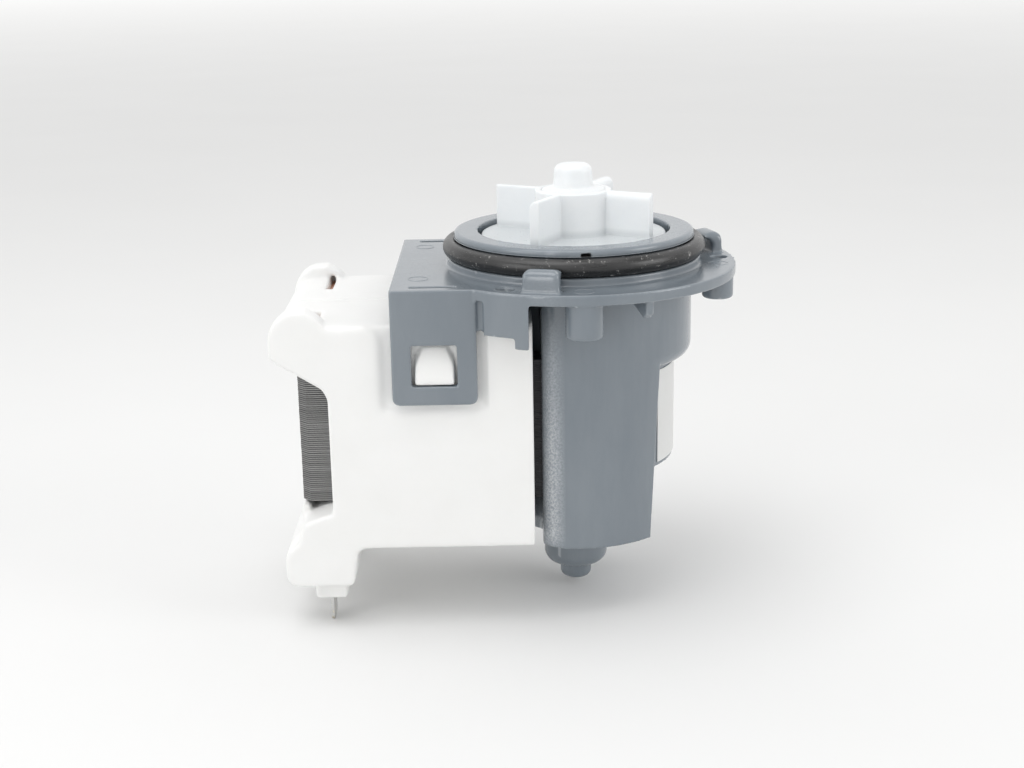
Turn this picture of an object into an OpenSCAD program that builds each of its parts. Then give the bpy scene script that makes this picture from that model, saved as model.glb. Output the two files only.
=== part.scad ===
// Washing machine drain pump with a two-pole synchronous motor.
// A moulded body carries the spigot, the seal ring, the rotor can and the clips.
// The magnet rotor turns inside the can and drives the impeller through a loose dog.
// A U-shaped lamination stack with two covered coils slides in from the left.
// Frame: millimetres, +Z along the rotor axis to the impeller, origin on that axis
// in the flange's top face, stator towards -X, front towards -Y.

/* [Impeller] */
// Diameter of the back disc
disc_d = 44.4; // [40:0.2:50]
// Thickness of the back disc
disc_t = 1.4; // [1:0.1:2.4]
// Depth of the disc's top below the spigot's rim
disc_sink = 1; // [0.4:0.1:2]
// Radial gap between the disc and the spigot's wall
disc_gap = 0.95; // [0.5:0.05:2]
// Number of blades
blade_count = 4; // [3:1:6]
// Diameter across the blade tips
blade_d = 41; // [34:0.5:43]
// Height of a blade above the disc
blade_h = 10.4; // [9:0.1:14]
// Thickness of a blade
blade_t = 2.4; // [1.8:0.1:3.4]
// Rounding of a blade's upper edge
blade_round = 1.6; // [0.5:0.1:1.7]
// Turn of the first blade from the front
blade_turn = -28.5; // [-45:0.5:45]
// Diameter of the hub
hub_d = 18.4; // [15:0.2:20]
// Wall of the hub around the coupling
hub_wall = 1.6; // [1.2:0.1:2]
// Thickness of the hub's floor under the coupling
hub_floor = 2.4; // [1.5:0.1:3.5]
// Diameter of the cap on the hub
cap_d = 9.7; // [7:0.1:11]
// Height of the cap above the hub
cap_h = 6.1; // [3.4:0.1:9]
// Taper of the cap's wall towards its top
cap_taper = 0.25; // [0.1:0.05:0.6]
// Rounding of the cap's top
cap_round = 2; // [0.6:0.1:2.4]
// Rise of the hub's top towards the cap
hub_rise = 0.7; // [0.3:0.1:1.2]
// Depth of the cap's plug in the hub
plug_h = 2.2; // [1.4:0.1:3]
// Width of the driving dog and of its stop
dog_w = 3.2; // [2.4:0.1:4]

/* [Flange and spigot] */
// Thickness of the flange
flange_t = 2.6; // [2:0.1:4]
// Rim of the flange outside the hooks
flange_rim = 1.8; // [1:0.1:5]
// Wall of the spigot between its bore and the ring's seat
spigot_wall = 4.25; // [3:0.05:6]
// Step of the shoulder under the seal ring
neck_step = 3.2; // [2:0.1:4]
// Height of that shoulder
neck_h = 2; // [1:0.1:4]
// Cord diameter of the seal ring
ring_t = 4.2; // [3:0.1:5]
// Play of the seal ring in its groove
ring_play = 0.2; // [0.05:0.05:0.6]
// Overhang of the lip above the seal ring
lip_over = 1.5; // [0.8:0.1:2]
// Thickness of the lip
lip_t = 1.7; // [1.3:0.05:2.2]
// Rounding of the lip's outer edge
lip_round = 0.8; // [0.3:0.1:1]
// Number of notches under the lip
notch_count = 4; // [1:1:6]
// Width of a notch
notch_w = 2.3; // [1:0.1:4]
// Turn of the first notch from the front
notch_turn = 3.2; // [-10:0.1:10]

/* [Hooks and bosses] */
// Number of bayonet hooks
hook_count = 3; // [2:1:4]
// Turn of the first hook from the front
hook_turn = -13.9; // [-30:0.1:30]
// Width of a hook
hook_w = 8.6; // [6:0.1:12]
// Thickness of a hook's post
hook_t = 2.5; // [2:0.1:4]
// Height of a hook above the flange
hook_h = 5.1; // [4.4:0.1:8]
// Gap between the seal ring and a hook's post
hook_gap = 3.05; // [1.5:0.05:4]
// Thickness of a hook's lip at its tip
hook_lip_t = 1.5; // [1:0.1:2.4]
// Bevel of a hook's top corners
hook_round = 1; // [0.4:0.1:2]
// Rounding of a hook's outer top edge
hook_edge = 1.6; // [0.6:0.1:1.9]
// Gusset between a hook's post and its lip
hook_gusset = 0.9; // [0.3:0.1:1.5]
// Diameter of the dimple beside a hook
dimple_d = 4; // [2:0.1:5]
// Turn of that dimple from its hook
dimple_turn = -14.5; // [-17:0.1:-12]
// Diameter of the front boss under the flange
boss_d = 8.6; // [6:0.1:10]
// Length of the front boss
boss_h = 8.2; // [4:0.1:12]
// Turn of the front boss from the front
boss_turn = 1.5; // [-4:0.1:8]
// Diameter of the side bosses under the flange
side_boss_d = 7.5; // [6:0.1:9]
// Length of the side bosses
side_boss_h = 5.7; // [3:0.1:9]
// Turns of the side bosses from the front
side_boss_turns = [79.2, 181.5];
// Rounding of the bosses' ends
boss_round = 0.8; // [0.3:0.1:1.5]
// Drop of the stop skirt below the flange's top
skirt_drop = 10.3; // [6:0.1:14]
// Thickness of the stop skirt
skirt_t = 2.6; // [2:0.1:3]
// Distance of the skirt's outer end from the axis plane
skirt_far = 21.7; // [18:0.1:24]
// Distance of the skirt's inner end from the axis plane
skirt_near = 11.6; // [8:0.1:15]
// Set-back of the web between the skirt and the clip
web_back = 0.6; // [0.3:0.1:1]
// Width of the foot on the skirt
foot_w = 3.1; // [2:0.1:5]
// Drop of the foot below the skirt
foot_h = 2.5; // [1:0.1:4]
// Turn of the pointed tooth under the flange
tooth_turn = 24.2; // [15:0.1:40]
// Thickness of that tooth
tooth_t = 2; // [1:0.1:3]
// Drop of the tooth below the flange
tooth_h = 4.1; // [2:0.1:6]

/* [Rotor can and tower] */
// Bore of the rotor can
can_d = 26.4; // [24:0.2:28]
// Wall of the rotor can
can_wall = 1.4; // [1:0.1:2]
// Floor of the rotor can
can_floor = 2.4; // [1.5:0.1:4]
// Wall of the tower at its foot
tower_wall = 3; // [2.4:0.1:4.5]
// Growth of the tower's radius from foot to flange
tower_draft = 1.9; // [0.4:0.1:3]
// Rounding of the tower's open edges
tower_round = 4; // [2:0.1:4.5]
// Gap between the tower and the coil covers
tower_gap = 2; // [1:0.1:4]
// Wall behind the poles at the foot
back_wall = 2.2; // [1.5:0.1:3]
// Lean of that wall from foot to flange
back_lean = 3; // [1:0.1:5]
// Reach of the shoulder under the flange
shoulder_reach = 28.5; // [27.4:0.1:31]
// Offset of the shoulder's centre from the axis
shoulder_off = 4.2; // [3:0.1:6]
// Drop of the shoulder below the flange
shoulder_h = 20.4; // [14:0.1:24]
// Rounding of the shoulder's foot
shoulder_round = 3.5; // [2:0.1:5]
// Outer radius of the label wall
label_r = 24.3; // [23:0.1:25]
// Thickness of the label wall
label_wall = 2.2; // [1.5:0.1:3]
// Drop of the label wall below the shoulder
label_h = 25; // [16:0.1:32]
// Diameter of the bearing cup under the can
cup_d = 15.9; // [15.2:0.1:18]
// Foot of the bearing cup below its pocket
cup_foot = 5.3; // [3:0.1:7]
// Rounding of the bearing cup
cup_round = 3.1; // [1.5:0.1:3.8]
// Diameter of the nub at the lower end
nub_d = 7.9; // [7.4:0.1:9]
// Length of the nub
nub_h = 4.2; // [3.8:0.1:7]
// Rounding of the nub
nub_round = 1.7; // [0.5:0.1:2.4]

/* [Rotor] */
// Diameter of the shaft
shaft_d = 5; // [4:0.1:5.6]
// Running clearance on the shaft
shaft_fit = 0.05; // [0.02:0.01:0.09]
// Running gap round the magnet
magnet_gap = 0.8; // [0.5:0.05:1.5]
// Overhang of the magnet at each end of the stack
magnet_over = 0.5; // [0:0.1:2]
// Diameter of the magnet's bore
magnet_bore = 11; // [9:0.1:14]
// Thickness of the carrier's end flanges
carrier_end_t = 3; // [2:0.1:4]
// Diameter of the carrier's journals
journal_d = 8.4; // [7.4:0.1:9]
// Diameter of the bearing bushes
bush_d = 10; // [8.4:0.1:10.6]
// Length of the front bush
front_bush_l = 8; // [5:0.1:9]
// Length of the rear bush
rear_bush_l = 6.8; // [4:0.1:7.6]
// Wall of the rubber cushion round the rear bush
cushion_wall = 1.4; // [1:0.1:1.8]
// Thickness of the thrust washers
washer_t = 1; // [0.6:0.1:1.6]
// End play of the thrust washers
washer_play = 0.2; // [0.1:0.05:0.4]
// Free space from the carrier's end to the can's floor
rotor_space = 5.5; // [5:0.1:8]
// Diameter of the front bearing plate
plate_d = 34; // [30:0.2:36]
// Width of the plate's rim
plate_rim = 2; // [1.4:0.1:2.6]
// Thickness of the plate's rim
plate_rim_t = 2.5; // [1.8:0.1:4]
// Length of the plate in the body
plate_h = 11; // [9.6:0.1:13]
// Free space between the plate and the disc
plate_space = 2.8; // [1.5:0.1:4]
// Cord diameter of the plate's seal
plate_seal_t = 1.8; // [1.2:0.1:2.4]
// Diameter of the shaft's lip seal
lip_seal_d = 12; // [10.4:0.1:14]
// Height of the lip seal
lip_seal_h = 2.6; // [1.6:0.1:3]

/* [Stator] */
// Drop of the lamination stack below the flange's top
core_drop = 19.5; // [17.5:0.1:24]
// Height of the lamination stack
core_h = 34.2; // [30:0.2:38]
// Gap between the poles and the rotor can
pole_gap = 0.5; // [0.3:0.05:1]
// Distance between the legs
leg_space = 20; // [18:0.1:22]
// Width of a leg
leg_w = 9.8; // [8:0.1:11]
// Reach of the poles past the axis
pole_reach = 14.5; // [11:0.1:16]
// Thickness of the yoke
yoke_t = 7.7; // [6:0.1:10]
// Chamfer of the yoke's corners
yoke_chamfer = 2; // [0.5:0.1:4]
// Gap between the poles and the tower's wall
pocket_gap = 2.7; // [2.2:0.1:4]
// Play of a bobbin on its leg
bobbin_play = 0.25; // [0.1:0.05:0.5]
// Wall of a bobbin
bobbin_wall = 1; // [0.7:0.1:1.5]
// Thickness of a bobbin's end cheek
cheek_t = 1.4; // [1:0.1:2]
// Length of a winding
coil_l = 39; // [30:0.2:42]
// Depth of a winding
coil_t = 4.2; // [2.5:0.1:4.4]
// Length of the thermal fuse
fuse_l = 12; // [8:0.5:16]
// Distance of the thermal fuse from the winding's near end
fuse_off = 8; // [2:0.5:12]

/* [Coil covers] */
// Wall of a cover
cover_wall = 1.6; // [1.2:0.1:2.2]
// Space between a winding and the cover's face
cover_space = 1.75; // [1.4:0.05:3]
// Space above a winding
cover_over = 3.85; // [3.6:0.05:6]
// Space below a winding
cover_under = 2.15; // [1.6:0.05:4]
// Distance of the covers' near end from the rotor axis
cover_near = 10.7; // [9.5:0.1:12]
// Gap between the two covers
cover_split = 0.4; // [0.2:0.1:1]
// Rounding of a cover's outer edges
cover_round = 1.6; // [0.6:0.1:1.6]
// Depth of the recess behind a clip
recess_t = 0.9; // [0.6:0.1:1.2]
// Rounding of the recess's upper corner
recess_round = 4.5; // [2:0.1:5]
// Reach of the upper ear past the cover's end
ear_reach = 13.1; // [11:0.1:16]
// Height of the upper ear's nose
ear_h = 7.1; // [6:0.1:9]
// Rounding of the upper ear's top
ear_round = 4.6; // [2:0.1:5.5]
// Height of the upper ear where it meets the cover
ear_root = 16; // [12:0.1:20]
// Rounding of the knob on the upper ear
knob_r = 6.9; // [5:0.1:8]
// Rise of that knob above the cover
knob_h = 3.5; // [2:0.1:5]
// Width of that knob from the ear's tip
knob_w = 9.1; // [8.2:0.1:10]
// Depth of that knob
knob_d = 6; // [3:0.1:9]
// Drop of the lower ear below the cover
lower_ear_drop = 9.5; // [6:0.1:13]
// Reach of the lower ear past the cover's end
lower_ear_reach = 11.9; // [10:0.1:14]
// Width of the lower ear under the cover
lower_ear_in = 4.5; // [3:0.1:8]
// Rounding of the lower ear towards the tower
lower_ear_round = 1.5; // [0.6:0.1:2.5]
// Rounding of the lower ear's outer lobe
lobe_round = 3.3; // [1.5:0.1:3.8]
// Fillet between the lower ear and the cover
ear_fillet = 2.2; // [1:0.1:4]
// Set-back of the web behind the lower ear's face
ear_web_back = 3; // [1:0.1:6]
// Width of the lip under the yoke's corner
yoke_lip_w = 1.9; // [1:0.1:3]
// Width of the wire slot in the upper ear
wire_slot_w = 1.4; // [1:0.1:2.2]
// Depth of the wire slot
wire_slot_h = 2; // [1.4:0.1:3]
// Diameter of the lead wire
wire_d = 0.8; // [0.4:0.1:0.9]

/* [Clips] */
// Distance of the top plate's edge from the rotor axis
clip_far = 43; // [40:0.1:47]
// Width of a clip
clip_w = 19.6; // [16:0.1:23]
// Drop of a clip below the flange's top
clip_drop = 27; // [24.4:0.1:31]
// Thickness of a clip
clip_t = 2.6; // [1.6:0.1:3]
// Gap between a clip and the recess
clip_gap = 0.5; // [0.3:0.1:1.2]
// Rounding of a clip's lower corners
clip_round = 1.6; // [0.5:0.1:2.5]
// Width of the latch window
window_w = 10.5; // [7:0.1:12]
// Height of the latch window
window_h = 9.7; // [6:0.1:11]
// Drop of the window's top below the flange's top
window_drop = 12.9; // [11:0.1:13.5]
// Play of the latch in its window
latch_play = 0.7; // [0.3:0.1:1.2]
// Width of the slot above a window
slot_w = 1.6; // [1:0.1:2.4]
// Diameter of the post between the top plate and a cover
post_d = 4.8; // [3:0.1:6]
// Distance of that post from the plate's edge
post_in = 6; // [4:0.1:9]
// Distance of that post from the middle of its leg
post_off = 3.5; // [1:0.1:4.5]

/* [Terminals and label] */
// Distance of the tabs from the covers' far end
tab_off = 1.8; // [1:0.1:3]
// Width of a terminal tab
tab_w = 6.3; // [4.8:0.1:6.3]
// Thickness of a terminal tab
tab_t = 0.8; // [0.5:0.1:0.8]
// Length of a tab below its guard
tab_l = 6.2; // [3:0.1:9]
// Depth of a tab in the ear
tab_root = 4; // [2:0.1:6]
// Length of the guard round a tab
guard_h = 4.7; // [3:0.1:9]
// Width of the guard
guard_w = 7.7; // [5:0.1:9]
// Wall of the guard
guard_wall = 1.2; // [0.8:0.1:1.6]
// Play of a tab in the guard
tab_play = 0.1; // [0.05:0.05:0.3]
// Thickness of the label
label_t = 0.15; // [0.1:0.05:0.3]
// Thickness of the label's glue
label_glue = 0.05; // [0.03:0.01:0.1]
// Angle that the label covers
label_angle = 76; // [40:1:78]
// Margin of the label above and below
label_margin = 1; // [0.5:0.1:3]

/* [Hidden] */
$fn = 96;

// Overcut that keeps the faces of a cut apart, and a reach past every wall
eps = 0.01;
far = 120;
// Small clearance between fixed pieces that are slid together
seat_gap = 0.1;

// Radii of the spigot, from the disc outwards
disc_r = disc_d / 2;
cavity_r = disc_r + disc_gap;
spigot_r = cavity_r + spigot_wall;
ring_in = spigot_r + seat_gap / 2;
ring_mid = ring_in + ring_t / 2;
ring_out = ring_in + ring_t;
neck_r = spigot_r + neck_step;
lip_r = spigot_r + lip_over;
hook_in = ring_out + hook_gap;
hook_tip = ring_out + hook_gap / 4;
flange_r = hook_in + hook_t + flange_rim;
boss_rim = 0.4;

// Heights of the spigot and the impeller, from the flange's top upwards
ring_z = neck_h + ring_play / 2 + ring_t / 2;
lip_z = neck_h + ring_play + ring_t;
spigot_h = lip_z + lip_t;
disc_top = spigot_h - disc_sink;
disc_low = disc_top - disc_t;
hub_top = disc_top + blade_h;
plate_top = disc_low - plate_space;
plate_low = plate_top - plate_h;
chamber_low = disc_top + hub_floor;
plug_low = hub_top - plug_h;
dog_play = 0.3;
dog_low = chamber_low + dog_play;
dog_top = plug_low - dog_play;
dog_r = hub_d / 2 - hub_wall - dog_play;
dog_hub_r = shaft_d / 2 + 1.1;
sleeve_low = plate_top + 0.5;

// Radii of the rotor, the can and the poles
can_r = can_d / 2;
can_out = can_r + can_wall;
bore_r = can_out + pole_gap;
magnet_r = can_r - magnet_gap;
plate_r = plate_d / 2;
bush_r = bush_d / 2;
cushion_r = bush_r + cushion_wall;

// Heights of the rotor, from the stack downwards
core_top = -core_drop;
core_low = core_top - core_h;
magnet_top = core_top + magnet_over;
magnet_low = core_low - magnet_over;
carrier_top = magnet_top + carrier_end_t;
carrier_low = magnet_low - carrier_end_t;
can_low = carrier_low - rotor_space;
tower_low = can_low - can_floor;
front_bush_top = plate_top - lip_seal_h - washer_play;
front_bush_low = front_bush_top - front_bush_l;
rear_bush_top = can_low - washer_t - 2 * washer_play - 1.2;
rear_bush_low = rear_bush_top - rear_bush_l;
cushion_low = rear_bush_low - 0.4;
cup_low = cushion_low - cup_foot;
nub_low = cup_low - nub_h;
shaft_low = nub_low + 3;
shaft_top = dog_top;

// Plan of the stator, from the rotor axis to the left and outwards
leg_in = leg_space / 2;
leg_out = leg_in + leg_w;
pocket_r = leg_out + pocket_gap;
tower_r = pocket_r + tower_wall;
tower_top_r = tower_r + tower_draft;
tower_left = -cover_near + tower_gap;
tower_h = -flange_t - tower_low;
pocket_top = core_top + 5;
pocket_low = tower_low + can_floor;
back_in = pole_reach + 0.7;
back_low = back_in + back_wall;
coil_near = -bore_r - 0.8;
coil_far = coil_near - coil_l;
cover_far = coil_far - cheek_t - 0.3 - cover_wall;
yoke_near = cover_far - 0.4;
yoke_far = yoke_near - yoke_t;

// Depth and height of the coils and covers
tube_grow = bobbin_play + bobbin_wall;
coil_grow = tube_grow + coil_t;
cheek_grow = coil_grow + cover_space - recess_t - 0.2;
cover_face = leg_out + coil_grow + cover_space + cover_wall;
cover_top = core_top + coil_grow + cover_over + cover_wall;
cover_low = core_low - coil_grow - cover_under - cover_wall;
cover_edge = cover_split / 2;
recess_face = cover_face - recess_t;
clip_in = recess_face + clip_gap;
clip_out = clip_in + clip_t;
clip_near = clip_far - clip_w;
window_near = clip_near + (clip_w - window_w) / 2;
window_low = -window_drop - window_h;
recess_far = clip_far + 2.6;
recess_near = clip_near - 1.9;
recess_low = -clip_drop - 2;
ear_tip = cover_far - ear_reach;
lower_tip = cover_far - lower_ear_reach;
lower_ear_low = cover_low - lower_ear_drop;
terminal_x = cover_far - tab_off;
terminal_y = leg_out + 0.2;
guard_low = lower_ear_low - guard_h;
slot_x = ear_tip + knob_w + 0.3;
slot_deep = cover_face - cover_round - leg_in - 2;
shoulder_low = -flange_t - shoulder_h;
label_low = shoulder_low - label_h;

body_grey = [0.47, 0.51, 0.54];
cover_white = [0.95, 0.95, 0.94];
impeller_white = [0.92, 0.94, 0.95];
rubber_black = [0.13, 0.13, 0.14];
steel_grey = [0.62, 0.63, 0.65];
copper_red = [0.72, 0.40, 0.24];

// Ring or disc between two heights
module ring(r_out, r_in, low, top) {
    translate([0, 0, low]) difference() {
        cylinder(r = r_out, h = top - low);
        if (r_in > 0) translate([0, 0, -eps]) cylinder(r = r_in, h = top - low + 2 * eps);
    }
}

// Round stud that hangs from a height and has a rounded foot
module rounded_stud(r, top, low, round) {
    rotate_extrude() {
        translate([0, low + round]) square([r, top - low - round]);
        translate([0, low]) square([r - round, round + eps]);
        translate([r - round, low + round]) intersection() {
            circle(r = round);
            translate([-round, -round]) square([2 * round, round + eps]);
        }
    }
}

// Rectangle with four rounded corners
module rounded_rect(x, y, w, h, r) {
    translate([x + r, y]) square([w - 2 * r, h]);
    translate([x, y + r]) square([w, h - 2 * r]);
    for (i = [r, w - r], j = [r, h - r]) translate([x + i, y + j]) circle(r = r);
}

// Turn from the front towards +X, for features that stand at the front
module at_turn(turn) {
    rotate([0, 0, turn]) children();
}

// The front half of the stator mirrors the rear half
module at_front() {
    mirror([0, 1, 0]) children();
}

module both_sides() {
    children();
    mirror([0, 1, 0]) children();
}

// Plan in X and Z drawn out along Y between two depths
module along_y(near, deep) {
    translate([0, deep, 0]) rotate([90, 0, 0]) linear_extrude(deep - near) children();
}

// Plan in Y and Z drawn out along X between two places
module along_x(low, top) {
    translate([low, 0, 0]) rotate([90, 0, 90]) linear_extrude(top - low) children();
}

// Section of a leg, grown on all sides
module leg_section(grow) {
    translate([leg_in - grow, core_low - grow]) square([leg_w + 2 * grow, core_h + 2 * grow]);
}

// Flange with the top plate over the coils
module flange_plate() {
    translate([0, 0, -flange_t]) linear_extrude(flange_t) {
        circle(r = flange_r);
        translate([-clip_far, -clip_out]) square([clip_far, 2 * clip_out]);
    }
}

// Spigot with its shoulder, ring seat and rounded lip
module spigot() {
    rotate_extrude() {
        square([neck_r, neck_h]);
        square([spigot_r, spigot_h - eps]);
        translate([0, lip_z]) square([lip_r - lip_round, lip_t]);
        translate([0, lip_z]) square([lip_r, lip_t - lip_round]);
        translate([lip_r - lip_round, spigot_h - lip_round]) circle(r = lip_round);
    }
}

// Side of a hook in radius and height: post with a rounded outer edge, gusset and inward lip
module hook_side() {
    lip_drop = (hook_in - hook_tip) * tan(12);
    under = hook_h - hook_lip_t;
    translate([hook_in, -flange_t / 2]) square([hook_t, flange_t / 2 + hook_h - hook_edge]);
    translate([hook_in, -flange_t / 2]) square([hook_t - hook_edge, flange_t / 2 + hook_h]);
    translate([hook_in + hook_t - hook_edge, hook_h - hook_edge]) circle(r = hook_edge);
    polygon([[hook_in + eps, hook_h - eps], [hook_tip, hook_h - lip_drop], [hook_tip, under],
        [hook_in - hook_gusset, under], [hook_in + eps, under - hook_gusset]]);
}

// Bayonet hook at the front of the flange, with bevelled top corners
module hook() {
    half = hook_w / 2;
    top = hook_h + 1;
    bevel = hook_round + 1;
    intersection() {
        along_y(-hook_in - hook_t - 1, 1 - hook_tip)
            polygon([[-half, -flange_t], [half, -flange_t], [half, top - bevel], [half - bevel, top],
                [bevel - half, top], [-half, top - bevel]]);
        along_x(-half - 1, half + 1) mirror([1, 0]) hook_side();
    }
}

// Stop skirt below the rim, with its foot
module skirt() {
    intersection() {
        ring(flange_r, flange_r - skirt_t, -skirt_drop - foot_h, -flange_t / 2);
        union() {
            translate([-skirt_far, -far, -skirt_drop]) cube([skirt_far - skirt_near, far, skirt_drop]);
            translate([-skirt_near - foot_w, -far, -skirt_drop - foot_h])
                cube([foot_w, far, skirt_drop + foot_h]);
        }
    }
}

// Web between the front clip and the skirt, set back from both
module web() {
    translate([-clip_near - 1, web_back - clip_out, web_back - skirt_drop])
        cube([clip_near - skirt_far + 2, clip_t - web_back - 0.5, skirt_drop - web_back - flange_t / 2]);
}

// Boss under the flange at a turn from the front
module boss(turn, d, h) {
    at_turn(turn) translate([0, boss_rim + d / 2 - flange_r, 0])
        rounded_stud(d / 2, -flange_t + eps, -flange_t - h, boss_round);
}

// Pointed tooth under the flange, drawn in radius and height
module tooth() {
    tip = flange_r - 0.8;
    translate([-tooth_t / 2, 0, 0]) along_x(0, tooth_t) mirror([1, 0])
        polygon([[neck_r, -flange_t + eps], [tip, -flange_t + eps], [tip, -flange_t - tooth_h * 0.7],
            [tip - 1.6, -flange_t - tooth_h], [neck_r, -flange_t - 1.2]]);
}

// Clip that hangs over a coil cover, with its latch window
module clip() {
    along_y(clip_in, clip_out) difference() {
        union() {
            translate([-clip_far, clip_round - clip_drop]) square([clip_w, clip_drop - clip_round]);
            translate([clip_round - clip_far, -clip_drop]) square([clip_w - 2 * clip_round, clip_drop]);
            for (x = [clip_near + clip_round, clip_far - clip_round])
                translate([-x, clip_round - clip_drop]) circle(r = clip_round);
        }
        translate([-window_near - window_w, window_low]) square([window_w, window_h]);
    }
}

// Outer shape of the pole tower: a drafted drum, open on the left, cut back on the right
module tower_shape() {
    lean = atan2(back_lean, tower_h);
    edge_x = tower_left + tower_round;
    low_y = sqrt(pow(tower_r - tower_round, 2) - edge_x * edge_x);
    top_y = sqrt(pow(tower_top_r - tower_round, 2) - edge_x * edge_x);
    drum_x = edge_x * tower_r / (tower_r - tower_round) + 0.5;
    intersection() {
        union() {
            difference() {
                translate([0, 0, tower_low]) cylinder(r1 = tower_r, r2 = tower_top_r, h = tower_h);
                translate([drum_x - far, -far / 2, tower_low - 1]) cube([far, far, tower_h + 2]);
                translate([back_low, 0, tower_low]) rotate([0, lean, 0])
                    translate([0, -far / 2, -1]) cube([far, far, tower_h + 4]);
            }
            both_sides() translate([edge_x, low_y, tower_low]) rotate([atan2(low_y - top_y, tower_h), 0, 0]) {
                translate([0, 0, -2]) cylinder(r = tower_round, h = tower_h + 4);
                translate([0.03 - tower_round, -low_y - 2, -2])
                    cube([drum_x - tower_left + 1, low_y + 2, tower_h + 4]);
            }
        }
        translate([-far / 2, -far / 2, tower_low]) cube([far, far, tower_h]);
    }
}

// Shoulder under the flange on the side away from the coils
module shoulder() {
    intersection() {
        translate([shoulder_off, 0, 0])
            rounded_stud(shoulder_reach - shoulder_off, -flange_t + eps, shoulder_low, shoulder_round);
        translate([0, -far / 2, shoulder_low - 1]) cube([far, far, far]);
    }
}

// Curved wall that carries the label between the two halves of the tower
module label_shell() {
    intersection() {
        ring(label_r, label_r - label_wall, label_low, shoulder_low + shoulder_round);
        translate([back_in, -far / 2, label_low - 1]) cube([far, far, far]);
    }
}

// Space for the poles inside the tower
module pole_pocket() {
    intersection() {
        ring(pocket_r, 0, pocket_low, pocket_top);
        translate([-far, -far / 2, -far]) cube([far + back_in, far, far]);
    }
}

// Moulded body: flange, spigot, hooks, clips, tower, rotor can and bearing cup
module pump_body() {
    color(body_grey) difference() {
        union() {
            flange_plate();
            spigot();
            for (i = [0:hook_count - 1]) at_turn(hook_turn + i * 360 / hook_count) hook();
            boss(boss_turn, boss_d, boss_h);
            for (turn = side_boss_turns) boss(turn, side_boss_d, side_boss_h);
            skirt();
            web();
            at_turn(tooth_turn) tooth();
            both_sides() clip();
            both_sides() translate([post_in - clip_far, leg_in + leg_w / 2 + post_off, cover_top + seat_gap])
                cylinder(d = post_d, h = -flange_t - cover_top);
            difference() {
                union() {
                    tower_shape();
                    shoulder();
                    label_shell();
                }
                pole_pocket();
            }
            ring(can_out, 0, tower_low, -flange_t);
            rounded_stud(cup_d / 2, tower_low + eps, cup_low, cup_round);
            rounded_stud(nub_d / 2, cup_low + eps, nub_low, nub_round);
        }
        // Spigot cavity, seat of the bearing plate, rotor chamber and rear bearing
        ring(cavity_r, 0, plate_top, spigot_h + 1);
        ring(plate_r + plate_rim + seat_gap / 2, 0, plate_top - plate_rim_t, plate_top + eps);
        ring(plate_r + seat_gap / 2, 0, plate_low, plate_top);
        ring(can_r, 0, can_low, plate_low + eps);
        ring(cushion_r + seat_gap / 2, 0, cushion_low, can_low + eps);
        ring(shaft_d / 2 + 0.4, 0, shaft_low - 1, cushion_low + eps);
        // Dimples beside the hooks, the lip's notches and the slots above the windows
        for (i = [0:hook_count - 1]) at_turn(hook_turn + dimple_turn + i * 360 / hook_count)
            translate([0, -hook_in - hook_t / 4, -flange_t / 2]) cylinder(r = dimple_d / 2, h = flange_t);
        for (i = [0:notch_count - 1]) at_turn(notch_turn + i * 360 / notch_count)
            translate([-notch_w / 2, -lip_r - 1, lip_z - eps]) cube([notch_w, lip_over + 0.7, lip_t / 2]);
        both_sides() translate([-window_near - window_w, clip_in - slot_w, -flange_t - 1])
            cube([window_w, slot_w, flange_t + 2]);
    }
}

// Rubber ring that seals the spigot in the pump housing
module seal_ring() {
    color(rubber_black) translate([0, 0, ring_z]) rotate_extrude() translate([ring_mid, 0]) circle(r = ring_t / 2);
}

// Plate that closes the rotor chamber and holds the front bearing
module bearing_plate() {
    groove_r = plate_r - plate_seal_t - seat_gap / 2;
    groove_z = (plate_low + plate_top - plate_rim_t) / 2;
    color([0.35, 0.36, 0.38]) difference() {
        union() {
            ring(plate_r, 0, plate_low, plate_top);
            ring(plate_r + plate_rim, 0, plate_top - plate_rim_t, plate_top);
        }
        ring(lip_seal_d / 2, 0, plate_top - lip_seal_h, plate_top + 1);
        ring(bush_r, 0, plate_low - 1, plate_top);
        ring(plate_r + 1, groove_r, groove_z - plate_seal_t / 2 - seat_gap, groove_z + plate_seal_t / 2 + seat_gap);
        ring(groove_r - 1.6, bush_r + 2, plate_low - 1, plate_low + 4);
    }
}

// Rubber ring round the bearing plate
module plate_seal() {
    groove_z = (plate_low + plate_top - plate_rim_t) / 2;
    color(rubber_black) translate([0, 0, groove_z]) rotate_extrude()
        translate([plate_r - plate_seal_t / 2, 0]) circle(r = plate_seal_t / 2);
}

// Bush of the shaft on the impeller side
module front_bearing() {
    color([0.80, 0.78, 0.72]) ring(bush_r, shaft_d / 2 + shaft_fit, front_bush_low, front_bush_top);
}

// Lip seal between the bearing plate and the shaft
module shaft_seal() {
    low = plate_top - lip_seal_h;
    color(rubber_black) difference() {
        ring(lip_seal_d / 2, shaft_d / 2 + shaft_fit, low, plate_top);
        translate([0, 0, low + 0.8]) difference() {
            cylinder(r = lip_seal_d / 2 - 1.2, h = lip_seal_h);
            translate([0, 0, -1]) cylinder(r1 = shaft_d / 2 + 1.9, r2 = shaft_d / 2 + 0.6, h = lip_seal_h + 2);
        }
    }
}

// Rubber cup that cushions the rear bush
module rear_cushion() {
    color(rubber_black) difference() {
        ring(cushion_r, shaft_d / 2 + 0.5, cushion_low, rear_bush_top);
        ring(bush_r, 0, rear_bush_low, rear_bush_top + 1);
    }
}

// Bush of the shaft at the lower end
module rear_bearing() {
    color([0.80, 0.78, 0.72]) ring(bush_r, shaft_d / 2 + shaft_fit, rear_bush_low, rear_bush_top);
}

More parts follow.
